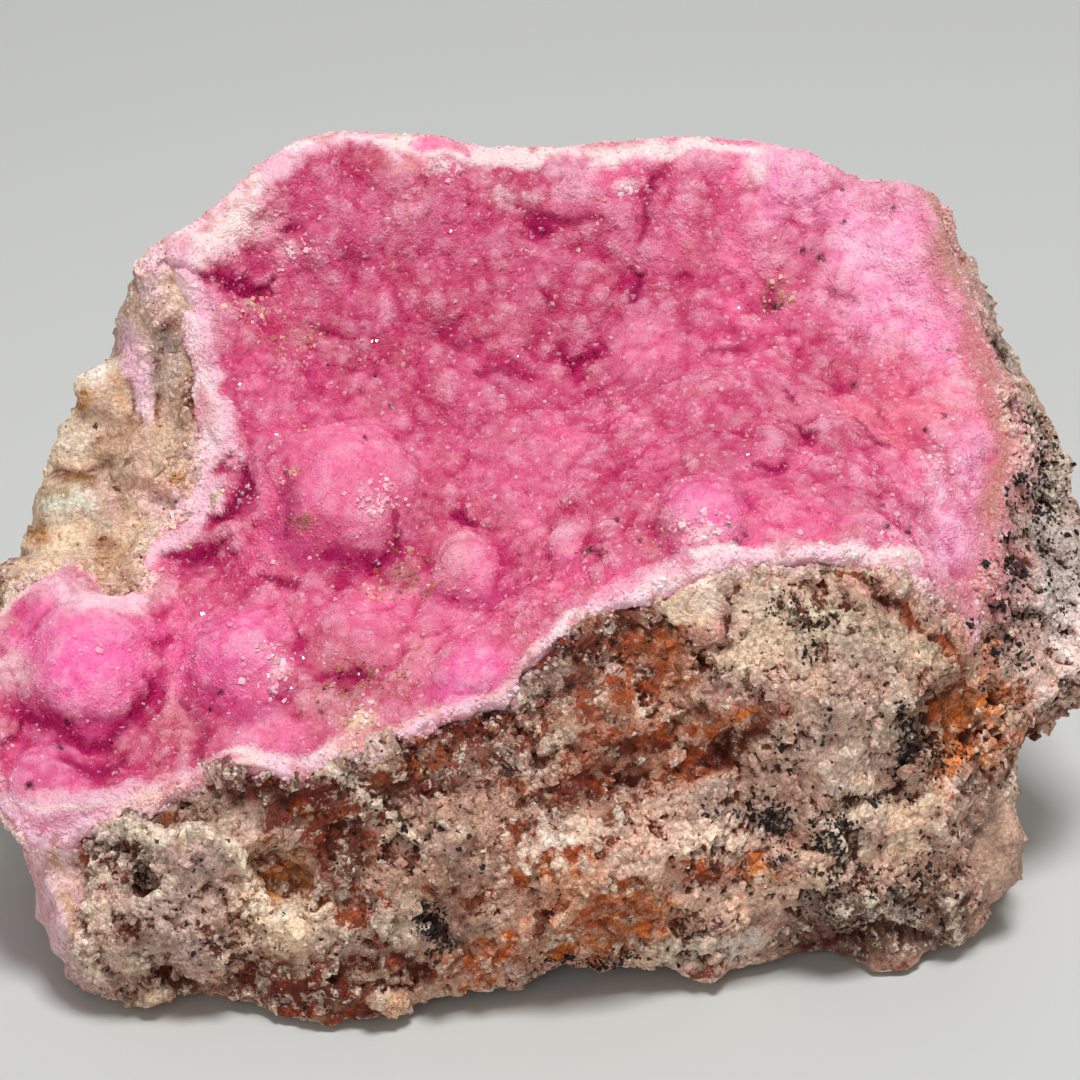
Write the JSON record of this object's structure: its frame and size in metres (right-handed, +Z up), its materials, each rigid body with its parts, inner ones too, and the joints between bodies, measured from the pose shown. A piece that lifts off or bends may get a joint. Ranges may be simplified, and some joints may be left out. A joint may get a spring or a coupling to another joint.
{
  "type": "cobaltoan calcite specimen",
  "caption": "Broken piece of host rock with a tilted dish in its top, lined with a lumpy druse of pink cobaltoan calcite; rests on its flat feet.",
  "frame": {"origin": "middle of the bounding box's base, on the surface the specimen rests on", "axes": "+X along the long side, +Y from the broken front face to the back, +Z up"},
  "size_m": [0.0978, 0.06, 0.0592],
  "materials": {
    "host_rock": "rough broken dolostone, taupe with rust and maroon stains and black specks",
    "calcite_crust": "sparkling rose-pink crystal druse with a pale broken edge"
  },
  "bodies": {
    "root": {"host_rock": "host_rock", "calcite_crust": "calcite_crust"}
  },
  "joints": []
}
